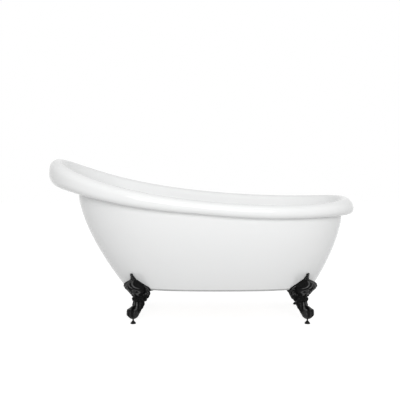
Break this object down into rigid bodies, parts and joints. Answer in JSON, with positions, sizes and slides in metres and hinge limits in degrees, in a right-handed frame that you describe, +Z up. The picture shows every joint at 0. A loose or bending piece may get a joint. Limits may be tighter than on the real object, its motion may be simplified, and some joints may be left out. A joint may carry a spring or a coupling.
{
  "type": "clawfoot bathtub",
  "caption": "Freestanding double-wall acrylic slipper bath with a rolled rim and high head end, on cast claw-and-ball feet with screw levellers, with a push waste and overflow.",
  "frame": {"origin": "on the floor under the middle of the tub's length and width", "axes": "+Z up, +X along the tub from the high head end to the low foot end, +Y to the far side"},
  "size_m": [1.5303, 0.72, 0.8011],
  "materials": {
    "white_acrylic": "gloss",
    "sealant": "satin",
    "black_casting": "satin",
    "black_pad": "satin",
    "zinc_steel": "satin",
    "timber": "matte",
    "rubber": "matte",
    "chrome_trim": "mirror",
    "brass": "satin",
    "stainless": "polished",
    "pipe_plastic": "satin"
  },
  "bodies": {
    "tub": {"base_board": "timber", "basin": "white_acrylic", "corner_block_head_far": "timber", "corner_block_head_near": "timber", "corner_block_tail_far": "timber", "corner_block_tail_near": "timber", "foot_bolts": "zinc_steel", "foot_head_far": "black_casting", "foot_head_near": "black_casting", "foot_tail_far": "black_casting", "foot_tail_near": "black_casting", "foot_tee_nuts": "zinc_steel", "foot_washers": "zinc_steel", "overflow_cup": "pipe_plastic", "overflow_pipe": "pipe_plastic", "overflow_pipe_nut": "pipe_plastic", "overflow_plate": "chrome_trim", "overflow_screw": "chrome_trim", "overflow_seal": "rubber", "seam_bead": "sealant", "skirt": "white_acrylic", "slip_nut": "brass", "stopper_spring": "stainless", "tailpiece": "chrome_trim", "waste_flange": "chrome_trim", "waste_nut": "brass", "waste_seal": "rubber", "waste_shoe": "pipe_plastic"},
    "pad_head_near": {"leveller_pad_head_near": "black_pad", "leveller_glide_head_near": "rubber"},
    "spindle_head_near": {"leveller_spindle_head_near": "zinc_steel"},
    "pad_head_far": {"leveller_pad_head_far": "black_pad", "leveller_glide_head_far": "rubber"},
    "spindle_head_far": {"leveller_spindle_head_far": "zinc_steel"},
    "pad_tail_near": {"leveller_pad_tail_near": "black_pad", "leveller_glide_tail_near": "rubber"},
    "spindle_tail_near": {"leveller_spindle_tail_near": "zinc_steel"},
    "pad_tail_far": {"leveller_pad_tail_far": "black_pad", "leveller_glide_tail_far": "rubber"},
    "spindle_tail_far": {"leveller_spindle_tail_far": "zinc_steel"},
    "stopper": {"stopper_cap": "chrome_trim", "stopper_stem": "stainless", "stopper_seal": "rubber"}
  },
  "joints": [
    {"name": "pad_head_near_travel", "type": "slide", "parent": "tub", "child": "pad_head_near", "axis": [0, 0, -1], "range_m": [-0.005, 0.012]},
    {"name": "spindle_head_near_turn", "type": "hinge", "parent": "pad_head_near", "child": "spindle_head_near", "pos_m": [-0.337, -0.18, 0.04], "axis": [0, 0, -1], "range_deg": [-1450, 3470]},
    {"name": "pad_head_far_travel", "type": "slide", "parent": "tub", "child": "pad_head_far", "axis": [0, 0, -1], "range_m": [-0.005, 0.012]},
    {"name": "spindle_head_far_turn", "type": "hinge", "parent": "pad_head_far", "child": "spindle_head_far", "pos_m": [-0.337, 0.18, 0.04], "axis": [0, 0, -1], "range_deg": [-1450, 3470]},
    {"name": "pad_tail_near_travel", "type": "slide", "parent": "tub", "child": "pad_tail_near", "axis": [0, 0, -1], "range_m": [-0.005, 0.012]},
    {"name": "spindle_tail_near_turn", "type": "hinge", "parent": "pad_tail_near", "child": "spindle_tail_near", "pos_m": [0.517, -0.18, 0.04], "axis": [0, 0, -1], "range_deg": [-1450, 3470]},
    {"name": "pad_tail_far_travel", "type": "slide", "parent": "tub", "child": "pad_tail_far", "axis": [0, 0, -1], "range_m": [-0.005, 0.012]},
    {"name": "spindle_tail_far_turn", "type": "hinge", "parent": "pad_tail_far", "child": "spindle_tail_far", "pos_m": [0.517, 0.18, 0.04], "axis": [0, 0, -1], "range_deg": [-1450, 3470]},
    {"name": "stopper_push", "type": "slide", "parent": "tub", "child": "stopper", "axis": [0, 0, 1], "range_m": [-0.0085, 0], "stiffness_N_per_m": 500, "springref_m": 0.004, "deforming": ["stopper_spring"]}
  ],
  "couplings": [
    {"joint": "spindle_head_near_turn", "follows": "pad_head_near_travel", "rad_per_m": 5026.5},
    {"joint": "spindle_head_far_turn", "follows": "pad_head_far_travel", "rad_per_m": 5026.5},
    {"joint": "spindle_tail_near_turn", "follows": "pad_tail_near_travel", "rad_per_m": 5026.5},
    {"joint": "spindle_tail_far_turn", "follows": "pad_tail_far_travel", "rad_per_m": 5026.5}
  ]
}
